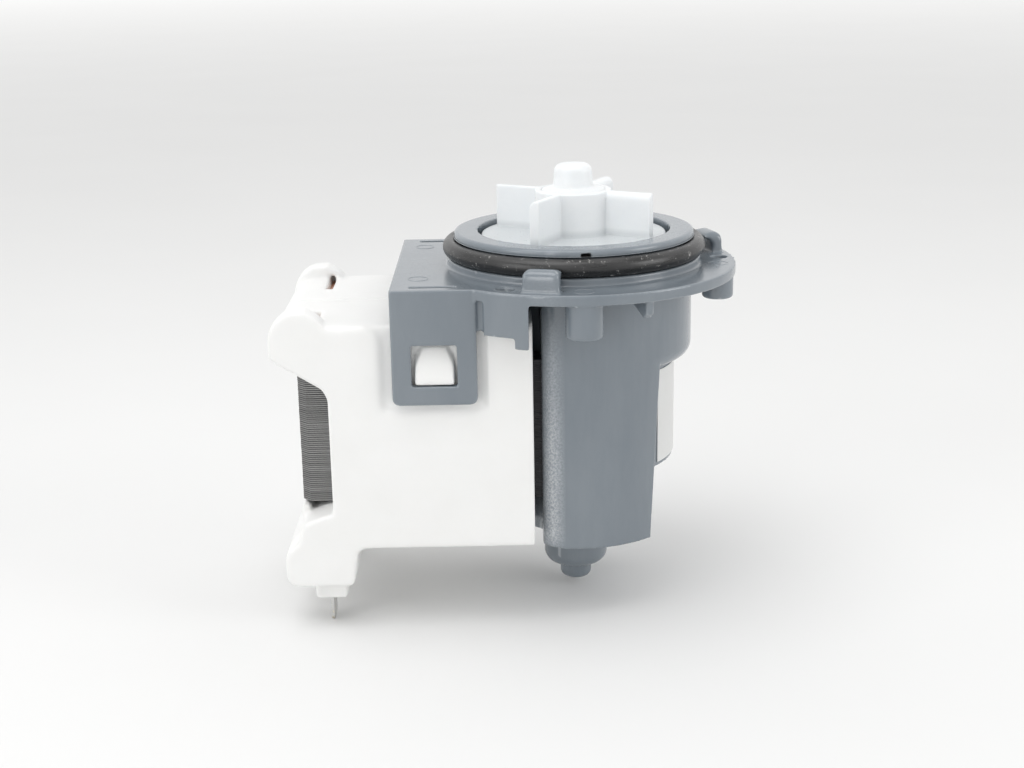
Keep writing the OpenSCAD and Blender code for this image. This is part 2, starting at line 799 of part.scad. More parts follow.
// Thrust washers at the two bushes
module front_washer() {
    top = front_bush_low - washer_play;
    color([0.86, 0.84, 0.78]) ring(bush_r + 0.6, shaft_d / 2 + shaft_fit, top - washer_t, top);
}

module rear_washer() {
    low = rear_bush_top + washer_play;
    color([0.86, 0.84, 0.78]) ring(bush_r + 0.6, shaft_d / 2 + shaft_fit, low, low + washer_t);
}

// Steel shaft from the nub to the driving dog
module rotor_shaft() {
    color(steel_grey) translate([0, 0, shaft_low]) cylinder(r = shaft_d / 2, h = shaft_top - shaft_low);
}

// Moulded carrier between shaft and magnet, with end flanges and journals
module magnet_carrier() {
    journal_top = front_bush_low - 2 * washer_play - washer_t;
    journal_low = rear_bush_top + 2 * washer_play + washer_t;
    color([0.25, 0.25, 0.27]) difference() {
        union() {
            ring(journal_d / 2, 0, journal_low, journal_top);
            ring(magnet_bore / 2, 0, carrier_low, carrier_top);
            ring(magnet_r - 0.6, 0, magnet_top, carrier_top);
            ring(magnet_r - 0.6, 0, carrier_low, magnet_low);
        }
        ring(shaft_d / 2, 0, journal_low - 1, journal_top + 1);
    }
}

// Two-pole ferrite magnet
module rotor_magnet() {
    color([0.20, 0.20, 0.21]) ring(magnet_r, magnet_bore / 2, magnet_low, magnet_top);
}

// Driving dog on the shaft's end, inside the impeller's hub
module drive_dog() {
    color([0.30, 0.31, 0.33]) difference() {
        union() {
            ring(dog_hub_r, 0, dog_low, dog_top);
            intersection() {
                ring(dog_r, 0, dog_low, dog_top);
                translate([-dog_w / 2, 0, dog_low]) cube([dog_w, dog_r, dog_top - dog_low]);
            }
        }
        ring(shaft_d / 2, 0, dog_low - 1, dog_top + 1);
    }
}

// Blade that stands on the disc and runs out from the hub's wall, with one rounded upper edge
module blade() {
    root = hub_d / 2 - hub_wall / 2;
    low = disc_low + disc_t / 2;
    intersection() {
        along_y(-blade_d / 2, -root) difference() {
            translate([-blade_t / 2, low]) square([blade_t, hub_top - low]);
            translate([-blade_t / 2, hub_top - blade_round]) difference() {
                translate([-1, 0]) square([blade_round + 1, blade_round + 1]);
                translate([blade_round, 0]) circle(r = blade_round);
            }
        }
        ring(blade_d / 2 - eps, 0, disc_low, hub_top + 1);
    }
}

// Impeller with straight blades, a hollow hub and the stop of the coupling
module impeller() {
    hub_in = hub_d / 2 - hub_wall;
    bore = shaft_d / 2 + shaft_fit;
    color(impeller_white) {
        rotate_extrude() {
            translate([bore, sleeve_low]) square([1.8, chamber_low - sleeve_low]);
            translate([bore, disc_low]) square([disc_r - bore, disc_t]);
            translate([bore, disc_low]) square([hub_d / 2 - bore, chamber_low - disc_low]);
            translate([hub_in, disc_low]) square([hub_wall, hub_top - disc_low]);
        }
        for (i = [0:blade_count - 1]) at_turn(blade_turn + i * 360 / blade_count) blade();
        intersection() {
            ring(hub_in + hub_wall / 2, dog_hub_r + dog_play, chamber_low - hub_floor / 2, dog_top);
            translate([-dog_w / 2, -hub_d, chamber_low - hub_floor]) cube([dog_w, hub_d, blade_h]);
        }
    }
}

// Cap that closes the coupling in the hub, tapered and rounded at its top
module impeller_cap() {
    plug_r = hub_d / 2 - hub_wall;
    top_r = cap_d / 2 - cap_taper;
    bend = hub_top + cap_h - cap_round;
    color(impeller_white) rotate_extrude() {
        translate([0, plug_low]) square([plug_r, hub_top - plug_low]);
        polygon([[0, hub_top - eps], [plug_r - seat_gap, hub_top - eps], [cap_d / 2 + hub_rise / 2, hub_top + hub_rise],
            [0, hub_top + hub_rise]]);
        polygon([[0, hub_top], [cap_d / 2, hub_top], [top_r, bend], [0, bend]]);
        translate([0, bend - eps]) square([top_r - cap_round, cap_round + eps]);
        translate([top_r - cap_round, bend]) intersection() {
            circle(r = cap_round);
            translate([-cap_round, -eps]) square([2 * cap_round, cap_round + eps]);
        }
    }
}

// U-shaped stack of laminations whose legs end in the poles
module stator_core() {
    color([0.52, 0.53, 0.54]) translate([0, 0, core_low]) linear_extrude(core_h) difference() {
        union() {
            translate([yoke_far, -leg_out]) square([yoke_t, 2 * leg_out]);
            for (y = [leg_in, -leg_out]) translate([yoke_far, y]) intersection() {
                square([pole_reach - yoke_far, leg_w]);
                translate([-yoke_far, -y]) union() {
                    circle(r = pocket_r - 0.4);
                    translate([-far, -far / 2]) square([far, far]);
                }
            }
        }
        circle(r = bore_r);
        for (s = [-1, 1]) translate([yoke_far, s * leg_out]) rotate([0, 0, 45])
            square(yoke_chamfer * sqrt(2), center = true);
    }
}

// Bobbin on a leg, with two end cheeks
module bobbin() {
    color([0.90, 0.90, 0.88]) difference() {
        union() {
            along_x(coil_far - cheek_t, coil_near + cheek_t) leg_section(tube_grow);
            for (x = [coil_far - cheek_t, coil_near])
                along_x(x, x + cheek_t) leg_section(cheek_grow);
        }
        along_x(coil_far - far, coil_near + far) leg_section(bobbin_play);
        ring(bore_r + seat_gap, 0, cover_low, cover_top);
    }
}

module rear_bobbin() {
    bobbin();
}

module front_bobbin() {
    at_front() bobbin();
}

// Winding on a bobbin, as one closed ring of wire
module winding() {
    color(copper_red) along_x(coil_far, coil_near) difference() {
        rounded_rect(leg_in - coil_grow, core_low - coil_grow, leg_w + 2 * coil_grow, core_h + 2 * coil_grow, coil_t);
        leg_section(tube_grow);
    }
}

module rear_winding() {
    winding();
}

module front_winding() {
    at_front() winding();
}

// Outline of the upper ear, with a rounded nose and a sloping underside
module upper_ear_plan() {
    nose_low = cover_top - ear_h;
    translate([ear_tip + ear_round, cover_top - ear_round]) circle(r = ear_round);
    translate([ear_tip + ear_round, cover_top - ear_h]) square([ear_reach - ear_round + eps, ear_h]);
    translate([ear_tip, nose_low]) square([ear_reach, ear_h - ear_round]);
    polygon([[ear_tip, nose_low + eps], [ear_tip + 0.8, nose_low - 1], [cover_far - 1.2, cover_top - ear_root + 1],
        [cover_far + eps, cover_top - ear_root - 1.4], [cover_far + eps, nose_low + eps]]);
}

// Outline of the rounded knob that rises from the upper ear's tip
module knob_plan() {
    left = ear_tip + seat_gap / 2;
    top = cover_top + knob_h;
    translate([left + knob_r, top - knob_r]) circle(r = knob_r);
    translate([left + knob_r, cover_top - knob_h]) square([knob_w - knob_r, 2 * knob_h]);
    translate([left, cover_top - ear_h + 1]) square([knob_r, top - knob_r - cover_top + ear_h - 1]);
}

// Outline of the lower ear, which hangs below the cover and carries a terminal
module lower_ear_plan() {
    right = cover_far + lower_ear_in;
    polygon([[cover_far + cover_wall, core_low - 0.1], [cover_far - 2, core_low - 0.8],
        [yoke_far + 1, core_low - 2.7], [yoke_far + 0.2, core_low - 5.6], [yoke_far - 0.4, cover_low + 1.5],
        [lower_tip + 0.8, cover_low - 0.4], [lower_tip, cover_low - 2.3], [lower_tip, lower_ear_low + lobe_round],
        [lower_tip + lobe_round, lower_ear_low], [right - lower_ear_round, lower_ear_low],
        [right, lower_ear_low + lower_ear_round], [right + 1.2, cover_low + 1]]);
    translate([lower_tip + lobe_round, lower_ear_low + lobe_round]) circle(r = lobe_round);
    translate([right - lower_ear_round, lower_ear_low + lower_ear_round]) circle(r = lower_ear_round);
    translate([right + 0.5, cover_low - ear_fillet]) difference() {
        square([ear_fillet + 0.3, ear_fillet + 0.5]);
        translate([ear_fillet + 0.3, -3 * eps]) circle(r = ear_fillet);
    }
}

// Web behind the lower ear's face, which fills the notch above its lobe
module ear_web_plan() {
    polygon([[yoke_far + 1.2, core_low - 3], [lower_tip + 0.5, cover_low - 0.6], [yoke_far + 1.2, cover_low - 0.6]]);
}

// Rounded edge cutter along X for the cover's face
module edge_round_x(z, up) {
    translate([0, cover_face - cover_round, z - up * cover_round]) rotate([90, 0, 90])
        translate([0, 0, cover_far - far / 2]) linear_extrude(far) difference() {
            translate([0, up > 0 ? 0 : -cover_round - 1]) square([cover_round + 1, cover_round + 1]);
            circle(r = cover_round);
        }
}

// Latch that snaps into the clip's window
module latch() {
    low = window_low + latch_play / 3;
    top = -window_drop - latch_play;
    along_x(latch_play - window_near - window_w, -window_near - latch_play)
        polygon([[recess_face - eps, low], [clip_out - 0.4, low], [clip_out - 0.4, low + 1.6],
            [clip_in + 0.2, top], [recess_face - eps, top]]);
}

// Recess for the clip, with a rounded upper corner towards the ear
module clip_recess() {
    along_y(recess_face, cover_face + 1) {
        translate([-recess_far, recess_low]) square([recess_far - recess_near, cover_top - recess_low + 1]);
        translate([-recess_far - recess_round, cover_top - recess_round]) difference() {
            square([recess_round + eps, recess_round + 1]);
            circle(r = recess_round);
        }
    }
}

// White cover round one coil, with its ears, clip recess, latch and terminal guard
module cover() {
    color(cover_white) difference() {
        union() {
            difference() {
                union() {
                    along_y(cover_edge, cover_face) translate([cover_far, cover_low])
                        square([-cover_near - cover_far, cover_top - cover_low]);
                    along_y(cover_edge, cover_face) upper_ear_plan();
                    along_y(cover_edge, cover_face) lower_ear_plan();
                    along_y(cover_edge, cover_face - ear_web_back) ear_web_plan();
                    along_y(cover_edge, leg_out + 1.2) translate([yoke_far, core_low - 4.5])
                        square([yoke_lip_w, 4.05]);
                }
                edge_round_x(cover_top, 1);
                clip_recess();
            }
            latch();
            along_y(cover_face - knob_d, cover_face) knob_plan();
            translate([terminal_x - guard_w / 2, terminal_y - tab_w / 2 - guard_wall, guard_low])
                cube([guard_w, tab_w + 2 * guard_wall, guard_h + 1]);
        }
        // Coil space, leg openings, yoke space and rotor can
        translate([cover_far + cover_wall, -1, cover_low + cover_wall])
            cube([-cover_near - cover_far - 2 * cover_wall, cover_face - cover_wall - recess_t + 1,
                cover_top - cover_low - 2 * cover_wall]);
        translate([cover_far - 1, -1, core_low - bobbin_play])
            cube([-cover_near - cover_far + 2, leg_out + bobbin_play + 1, core_h + 2 * bobbin_play]);
        translate([yoke_far - 0.4, -1, core_low - 0.4])
            cube([cover_far - yoke_far + 0.4 + eps, leg_out + 1.4, core_h + 0.8]);
        ring(bore_r + seat_gap, 0, cover_low - 1, cover_top + 1);
        // Wire slot in the upper ear and the terminal's slot
        translate([slot_x, leg_in + 2, cover_top - wire_slot_h]) cube([wire_slot_w, slot_deep, wire_slot_h + 1]);
        translate([terminal_x - tab_t / 2 - tab_play, terminal_y - tab_w / 2 - tab_play, guard_low - 1])
            cube([tab_t + 2 * tab_play, tab_w + 2 * tab_play, guard_h + tab_root + 1 + tab_play]);
    }
}

module rear_cover() {
    cover();
}

module front_cover() {
    at_front() cover();
}

// Spade terminal with a chamfered tip
module terminal() {
    low = guard_low - tab_l;
    top = lower_ear_low + tab_root;
    tip = 1;
    color(steel_grey) translate([terminal_x - tab_t / 2, terminal_y, 0]) along_x(0, tab_t)
        polygon([[-tab_w / 2, top], [tab_w / 2, top], [tab_w / 2, low + tip], [tab_w / 2 - tip, low],
            [tip - tab_w / 2, low], [-tab_w / 2, low + tip]]);
}

module rear_terminal() {
    terminal();
}

module front_terminal() {
    at_front() terminal();
}

// Thermal fuse that lies on the front winding under its cover
module thermal_fuse() {
    fuse_h = cover_over - 0.4;
    color([0.15, 0.15, 0.16]) at_front() along_x(coil_near - fuse_off - fuse_l, coil_near - fuse_off)
        rounded_rect(leg_in + 2, core_top + coil_grow + seat_gap, 5, fuse_h - seat_gap, 1);
}

// Enamelled lead wires in the slots of the upper ears
module lead_wires() {
    color(copper_red) both_sides()
        translate([slot_x + wire_slot_w / 2, leg_in + 2, cover_top - wire_slot_h + wire_d / 2 + seat_gap])
            rotate([-90, 0, 0]) cylinder(r = wire_d / 2, h = slot_deep - seat_gap);
}

// Blank label on the curved wall of the tower
module blank_label() {
    half = label_angle / 2;
    color([0.93, 0.93, 0.91]) intersection() {
        ring(label_r + label_glue + label_t, label_r + label_glue, label_low + label_margin, shoulder_low - label_margin);
        translate([0, 0, label_low]) linear_extrude(label_h)
            polygon([[0, 0], [far * cos(half), -far * sin(half)], [far * cos(half), far * sin(half)]]);
    }
}

pump_body();
seal_ring();
bearing_plate();
plate_seal();
front_bearing();
shaft_seal();
rear_cushion();
rear_bearing();
front_washer();
rear_washer();
rotor_shaft();
magnet_carrier();
rotor_magnet();
drive_dog();
impeller();
impeller_cap();
stator_core();
front_bobbin();
rear_bobbin();
front_winding();
rear_winding();
front_cover();
rear_cover();
front_terminal();
rear_terminal();
thermal_fuse();
lead_wires();
blank_label();
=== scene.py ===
import math
import random

import bmesh
import bpy
from mathutils import Matrix, Vector


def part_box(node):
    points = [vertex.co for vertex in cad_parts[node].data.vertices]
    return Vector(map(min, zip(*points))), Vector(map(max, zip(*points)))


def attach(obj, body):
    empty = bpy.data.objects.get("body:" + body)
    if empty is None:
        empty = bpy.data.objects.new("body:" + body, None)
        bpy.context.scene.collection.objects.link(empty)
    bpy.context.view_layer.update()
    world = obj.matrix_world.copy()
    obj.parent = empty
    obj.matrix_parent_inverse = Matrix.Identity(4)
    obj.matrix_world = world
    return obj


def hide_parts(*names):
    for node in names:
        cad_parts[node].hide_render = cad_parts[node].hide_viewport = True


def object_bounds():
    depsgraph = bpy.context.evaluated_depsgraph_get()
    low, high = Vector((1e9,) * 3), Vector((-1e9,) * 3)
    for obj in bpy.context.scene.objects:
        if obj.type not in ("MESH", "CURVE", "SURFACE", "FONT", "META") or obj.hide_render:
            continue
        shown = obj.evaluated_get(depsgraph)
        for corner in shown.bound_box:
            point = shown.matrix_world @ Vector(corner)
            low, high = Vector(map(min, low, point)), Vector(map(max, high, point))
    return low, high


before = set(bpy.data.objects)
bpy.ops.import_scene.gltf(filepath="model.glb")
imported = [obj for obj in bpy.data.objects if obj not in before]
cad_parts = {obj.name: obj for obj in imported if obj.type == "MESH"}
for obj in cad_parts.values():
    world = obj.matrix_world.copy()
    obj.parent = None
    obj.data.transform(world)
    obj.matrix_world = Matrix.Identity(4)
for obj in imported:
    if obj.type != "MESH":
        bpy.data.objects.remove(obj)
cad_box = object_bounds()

# Moulded body
# One grey moulding in filled polypropylene: flange, spigot, hooks, clips, pole tower, rotor can
# and bearing cup. Its corners carry the small radii of the mould; their paler tone is partly wear by handling,
# partly painted highlight.

MM = 0.001
SPECKLE_SPAN = (0.3, 0.7)
NONE_TO_ALL = (0.0, 1.0)
ALL_TO_NONE = (1.0, 0.0)


def new_finish(name):
    """Empty node material with its shader and the object's own coordinates."""
    finish = bpy.data.materials.new(name)
    finish.use_nodes = True
    nodes = finish.node_tree.nodes
    nodes.clear()
    out = nodes.new("ShaderNodeOutputMaterial")
    shader = nodes.new("ShaderNodeBsdfPrincipled")
    where = nodes.new("ShaderNodeTexCoord")
    finish.node_tree.links.new(shader.outputs["BSDF"], out.inputs["Surface"])
    return finish, nodes, finish.node_tree.links, shader, where.outputs["Object"]


def speckle(nodes, links, where, scale, detail=4.0, rough=0.6, stretch=None):
    """Noise at a real scale, in cells a metre, drawn out along the axes by stretch."""
    if stretch:
        drawn = nodes.new("ShaderNodeMapping")
        drawn.inputs["Scale"].default_value = stretch
        links.new(where, drawn.inputs["Vector"])
        where = drawn.outputs["Vector"]
    noise = nodes.new("ShaderNodeTexNoise")
    noise.inputs["Scale"].default_value = scale
    noise.inputs["Detail"].default_value = detail
    noise.inputs["Roughness"].default_value = rough
    links.new(where, noise.inputs["Vector"])
    return noise.outputs["Fac"]


def between(nodes, links, value, span, result):
    """A value that runs over a span, turned into one that runs over the result and stops at its ends."""
    ramp = nodes.new("ShaderNodeMapRange")
    ramp.inputs["From Min"].default_value, ramp.inputs["From Max"].default_value = span
    ramp.inputs["To Min"].default_value, ramp.inputs["To Max"].default_value = result
    links.new(value, ramp.inputs["Value"])
    return ramp.outputs["Result"]


def two_tone(nodes, links, share, first, second):
    """Colour that runs from the first tone to the second; the first may be a socket."""
    blend = nodes.new("ShaderNodeMix")
    blend.data_type = "RGBA"
    for tone, plug in ((first, blend.inputs["A"]), (second, blend.inputs["B"])):
        if isinstance(tone, tuple):
            plug.default_value = tone
        else:
            links.new(tone, plug)
    links.new(share, blend.inputs["Factor"])
    return blend.outputs["Result"]


def relief(nodes, links, shader, height, depth, strength):
    """Fine relief of a surface, with its depth in metres."""
    bump = nodes.new("ShaderNodeBump")
    bump.inputs["Distance"].default_value = depth
    bump.inputs["Strength"].default_value = strength
    links.new(height, bump.inputs["Height"])
    links.new(bump.outputs["Normal"], shader.inputs["Normal"])


def reckon(nodes, links, kind, *values):
    """One step of arithmetic on values of a surface."""
    step = nodes.new("ShaderNodeMath")
    step.operation = kind
    for value, plug in zip(values, step.inputs):
        links.new(value, plug)
    return step.outputs["Value"]


def product(nodes, links, total, *factors):
    """Values of a surface multiplied with each other."""
    for factor in factors:
        total = reckon(nodes, links, "MULTIPLY", total, factor)
    return total


def moulded(name, tone, pale, rough, flow, grain, depth, stretch=None, edge_wear_and_highlight=None):
    """Moulded plastic: cloudy flow of the melt, fine grain of the mould, uneven gloss, edges paled by a given
    tone: wear, and on the grey body also painted highlight.
    """
    finish, nodes, links, shader, where = new_finish(name)
    clouds = speckle(nodes, links, where, flow, detail=5.0, rough=0.62, stretch=stretch)
    grains = speckle(nodes, links, where, grain, detail=3.0, rough=0.7)
    colour = two_tone(nodes, links, between(nodes, links, clouds, (0.32, 0.68), NONE_TO_ALL), tone, pale)
    if edge_wear_and_highlight:
        edge = nodes.new("ShaderNodeNewGeometry").outputs["Pointiness"]
        edge_share = product(nodes, links, between(nodes, links, edge, (0.52, 0.62), NONE_TO_ALL),
                       between(nodes, links, clouds, (0.3, 0.6), (0.35, 1.0)))
        colour = two_tone(nodes, links, edge_share, colour, edge_wear_and_highlight)
    links.new(colour, shader.inputs["Base Color"])
    links.new(between(nodes, links, grains, SPECKLE_SPAN, rough), shader.inputs["Roughness"])
    relief(nodes, links, shader, grains, depth, strength=0.5)
    return finish, shader


BODY_GREY = (0.155, 0.183, 0.210, 1.0)
BODY_PALE = (0.188, 0.216, 0.241, 1.0)
# Paler edge tone: partly wear by handling, partly painted highlight.
WORN_AND_HIGHLIGHT_GREY = (0.34, 0.365, 0.385, 1.0)
grey, shader = moulded("moulded_grey", BODY_GREY, BODY_PALE, rough=(0.17, 0.27), flow=70.0, grain=2300.0,
                       depth=0.000004, stretch=(1.0, 1.0, 0.3), edge_wear_and_highlight=WORN_AND_HIGHLIGHT_GREY)
shader.inputs["IOR"].default_value = 1.6
shader.inputs["Coat Weight"].default_value = 0.3
shader.inputs["Coat Roughness"].default_value = 0.2
nodes, links = grey.node_tree.nodes, grey.node_tree.links


def place_of(nodes, links, turn=0.0):
    """The piece's own x, y and z, on axes turned round z by an angle in degrees."""
    place = nodes.new("ShaderNodeTexCoord").outputs["Object"]
    if turn:
        turned = nodes.new("ShaderNodeMapping")
        turned.inputs["Rotation"].default_value = (0.0, 0.0, math.radians(-turn))
        links.new(place, turned.inputs["Vector"])
        place = turned.outputs["Vector"]
    axes = nodes.new("ShaderNodeSeparateXYZ")
    links.new(place, axes.inputs["Vector"])
    return axes.outputs


def over_coat(finish, shader, mask, tone):
    """Lays a tone over a finish where the mask is one."""
    nodes, links = finish.node_tree.nodes, finish.node_tree.links
    under = shader.inputs["Base Color"].links[0].from_socket
    links.new(two_tone(nodes, links, mask, under, tone), shader.inputs["Base Color"])


# A speckled painted highlight lies on the tower's rounded corners beside the covers, least near the flange.
HIGHLIGHT_PAINT_GREY = (0.52, 0.54, 0.56, 1.0)
HIGHLIGHT_START = (-12.0 * MM, -11.0 * MM)
HIGHLIGHT_RISE = (-9.5 * MM, -6.6 * MM)
HIGHLIGHT_FALL = (-6.4 * MM, -3.2 * MM)
HIGHLIGHT_FOOT = (-66.0 * MM, -62.0 * MM)
HIGHLIGHT_FADE = (-44.0 * MM, -6.0 * MM)
spot = place_of(nodes, links)
highlight_speckle = speckle(nodes, links, nodes.new("ShaderNodeTexCoord").outputs["Object"], 2000.0, detail=3.0, rough=0.75)
painted_highlight = product(nodes, links,
                between(nodes, links, spot["X"], HIGHLIGHT_START, NONE_TO_ALL),
                between(nodes, links, spot["X"], HIGHLIGHT_RISE, (0.4, 1.0)),
                between(nodes, links, spot["X"], HIGHLIGHT_FALL, ALL_TO_NONE),
                between(nodes, links, spot["Z"], HIGHLIGHT_FOOT, NONE_TO_ALL),
                between(nodes, links, spot["Z"], HIGHLIGHT_FADE, (1.0, 0.1)),
                between(nodes, links, highlight_speckle, (0.36, 0.66), (0.25, 1.0)))
over_coat(grey, shader, painted_highlight, HIGHLIGHT_PAINT_GREY)

# Painted shade darkens the four notches under the spigot's lip.
NOTCH_SHADE = (0.016, 0.016, 0.017, 1.0)
NOTCH_TURN = 3.2
NOTCH_SIDE = (1.05 * MM, 1.2 * MM)
NOTCH_BACK = (26.6 * MM, 27.0 * MM)
NOTCH_BLUR = 0.2
NOTCH_TOP = 7.3
LIP_LOW = 6.5
spot = place_of(nodes, links, NOTCH_TURN)
across = [reckon(nodes, links, "ABSOLUTE", spot[axis]) for axis in "XY"]
notch_shade = product(nodes, links,
               between(nodes, links, reckon(nodes, links, "MINIMUM", *across), NOTCH_SIDE, ALL_TO_NONE),
               between(nodes, links, reckon(nodes, links, "MAXIMUM", *across), NOTCH_BACK, NONE_TO_ALL),
               between(nodes, links, spot["Z"], ((LIP_LOW - NOTCH_BLUR) * MM, LIP_LOW * MM), NONE_TO_ALL),
               between(nodes, links, spot["Z"], (NOTCH_TOP * MM, (NOTCH_TOP + NOTCH_BLUR) * MM), ALL_TO_NONE))
over_coat(grey, shader, notch_shade, NOTCH_SHADE)


def applied(piece):
    """The piece's mesh with its modifiers worked in."""
    bpy.context.view_layer.update()
    finished = bpy.data.meshes.new_from_object(piece.evaluated_get(bpy.context.evaluated_depsgraph_get()))
    piece.modifiers.clear()
    piece.data = finished
    return finished


def remoulded(node, cell, rounds, keep, body, finish, softer=(), cut=None):
    """Copy of a node with the small radii of a mould: a close skin of cells, smoothed, then thinned out.

    Each of softer is a test of a point and the rounds of smoothing that it adds there. cut moves a
    point. Both take the point in millimetres.
    """
    piece = bpy.data.objects.new(node + "_moulded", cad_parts[node].data.copy())
    bpy.context.scene.collection.objects.link(piece)
    skin = piece.modifiers.new("skin", "REMESH")
    skin.mode = "VOXEL"
    skin.voxel_size = cell
    skin.use_smooth_shade = True
    soft = piece.modifiers.new("soft", "SMOOTH")
    soft.iterations = rounds
    mesh = applied(piece)
    if cut:
        for vert in mesh.vertices:
            vert.co = Vector(cut(*(vert.co / MM))) * MM
    for number, (inside, more) in enumerate(softer):
        group = piece.vertex_groups.new(name="softer_%d" % number)
        group.add([vert.index for vert in mesh.vertices if inside(*(vert.co / MM))], 1.0, "REPLACE")
        round_off = piece.modifiers.new("round_off_%d" % number, "SMOOTH")
        round_off.iterations = more
        round_off.vertex_group = group.name
    fewer = piece.modifiers.new("fewer", "DECIMATE")
    fewer.ratio = keep
    mesh = applied(piece)
    piece.vertex_groups.clear()
    mesh.name = piece.name
    mesh.materials.clear()
    mesh.materials.append(finish)
    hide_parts(node)
    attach(piece, body)


HOOK_FOOT = 0.9
HOOK_CIRCLE = 32.0
CORNER_X = (-9.5, -4.5)
CORNER_Y = 22.0
CORNER_Z = (-66.0, -4.0)


def hook_place(x, y, z):
    """The hooks that stand on the flange's rim."""
    return z > HOOK_FOOT and math.hypot(x, y) > HOOK_CIRCLE


def tower_corner(x, y, z):
    """The tower's corners beside the covers."""
    return CORNER_X[0] < x < CORNER_X[1] and abs(y) > CORNER_Y and CORNER_Z[0] < z < CORNER_Z[1]


remoulded("pump_body", cell=0.3 * MM, rounds=5, keep=0.15, body="housing", finish=grey,
          softer=((hook_place, 45), (tower_corner, 70)))

# Ejector marks and flash
# Pins push the body out of its mould and leave thin rings on the flange and the top plate;
# a thin flash stands where the mould closes under the spigot's lip.

PIN_RADIUS = 2.3
PIN_WIRE = 0.07
PIN_CIRCLE = 34.9
PIN_TURNS = (1.5, -29.0, 79.0, 150.0, 205.0)
PLATE_PINS = ((-36.9, -18.3), (-37.0, 20.0))
LIP_RADIUS = 28.9
FLASH_WIRE = 0.09
FLASH_RISE = 0.1


def hoops(name, rounds, body, finish):
    """Thin raised rings, each with its centre, radius and wire in millimetres."""
    shape = bmesh.new()
    for (x, y, z), radius, wire in rounds:
        around, across = max(36, int(radius * 6)), 8
        loops = []
        for i in range(around):
            turn = 2 * math.pi * i / around
            loops.append([])
            for k in range(across):
                roll = 2 * math.pi * k / across
                out = radius + wire * math.cos(roll)
                loops[-1].append(shape.verts.new(((x + out * math.cos(turn)) * MM, (y + out * math.sin(turn)) * MM,
                                                  (z + wire * math.sin(roll)) * MM)))
        for i, here in enumerate(loops):
            there = loops[(i + 1) % around]
            for k in range(across):
                after = (k + 1) % across
                shape.faces.new((here[k], there[k], there[after], here[after])).smooth = True
    mesh = bpy.data.meshes.new(name)
    shape.to_mesh(mesh)
    shape.free()
    mesh.materials.append(finish)
    piece = bpy.data.objects.new(name, mesh)
    bpy.context.scene.collection.objects.link(piece)
    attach(piece, body)


pin_turns = [math.radians(turn) for turn in PIN_TURNS]
pins = [(PIN_CIRCLE * math.sin(turn), -PIN_CIRCLE * math.cos(turn)) for turn in pin_turns]
hoops("ejector_marks", [((x, y, 0.0), PIN_RADIUS, PIN_WIRE) for x, y in (*pins, *PLATE_PINS)],
      "housing", grey)
hoops("lip_flash", [((0.0, 0.0, LIP_LOW + FLASH_RISE), LIP_RADIUS, FLASH_WIRE)], "housing", grey)

# Bearing plate, bushes, washers and seals
# The dark moulded plate closes the rotor chamber. Carbon bushes carry the shaft, plastic
# washers take its thrust, and rubber rings and cups seal and cushion it.

DARK_PLASTIC = (0.052, 0.055, 0.060, 1.0)
DARK_PALE = (0.072, 0.075, 0.080, 1.0)
CARBON = (0.050, 0.048, 0.045, 1.0)
CARBON_PALE = (0.105, 0.100, 0.092, 1.0)
WASHER_CREAM = (0.56, 0.53, 0.44, 1.0)
WASHER_PALE = (0.64, 0.61, 0.52, 1.0)
SEAL_BLACK = (0.018, 0.018, 0.019, 1.0)
SEAL_PALE = (0.034, 0.033, 0.033, 1.0)


def dress(node, finish):
    """Gives a carried-over node its finish."""
    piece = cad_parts[node]
    piece.data.materials.clear()
    piece.data.materials.append(finish)


plate_dark, shader = moulded("moulded_dark", DARK_PLASTIC, DARK_PALE, rough=(0.42, 0.58), flow=90.0,
                             grain=1600.0, depth=0.00004)
dress("bearing_plate", plate_dark)
carbon, shader = moulded("pressed_carbon", CARBON, CARBON_PALE, rough=(0.45, 0.7), flow=900.0, grain=4200.0,
                         depth=0.00003)
for node in ("front_bearing", "rear_bearing"):
    dress(node, carbon)
washer_cream, shader = moulded("washer_cream", WASHER_CREAM, WASHER_PALE, rough=(0.35, 0.5), flow=120.0,
                               grain=2400.0, depth=0.00002)
for node in ("front_washer", "rear_washer"):
    dress(node, washer_cream)
soft_black, shader = moulded("soft_black_rubber", SEAL_BLACK, SEAL_PALE, rough=(0.55, 0.75), flow=160.0,
                             grain=2600.0, depth=0.00005)
for node in ("plate_seal", "shaft_seal", "rear_cushion"):
    dress(node, soft_black)

# Rotor
# A ground steel shaft runs in the two bushes. A moulded carrier on it holds the sintered ferrite
# magnet, and a moulded dog on its end drives the wheel.

STEEL_TONE = (0.46, 0.47, 0.49, 1.0)
STEEL_PALE = (0.58, 0.59, 0.60, 1.0)
FERRITE = (0.030, 0.030, 0.032, 1.0)
FERRITE_PALE = (0.060, 0.059, 0.058, 1.0)
shaft_ground, shader = moulded("ground_shaft", STEEL_TONE, STEEL_PALE, rough=(0.16, 0.32), flow=700.0,
                               grain=5200.0, depth=0.00001, stretch=(0.2, 0.2, 3.0))
shader.inputs["Metallic"].default_value = 1.0
dress("rotor_shaft", shaft_ground)
dress("magnet_carrier", plate_dark)
ferrite, shader = moulded("sintered_ferrite", FERRITE, FERRITE_PALE, rough=(0.5, 0.8), flow=320.0,
                          grain=3000.0, depth=0.00008)
dress("rotor_magnet", ferrite)
dress("drive_dog", plate_dark)

# Impeller
# Back disc, four straight blades and hub in one white, slightly translucent polypropylene
# moulding. The tapered cap is welded into the hub and hides the driving dog.

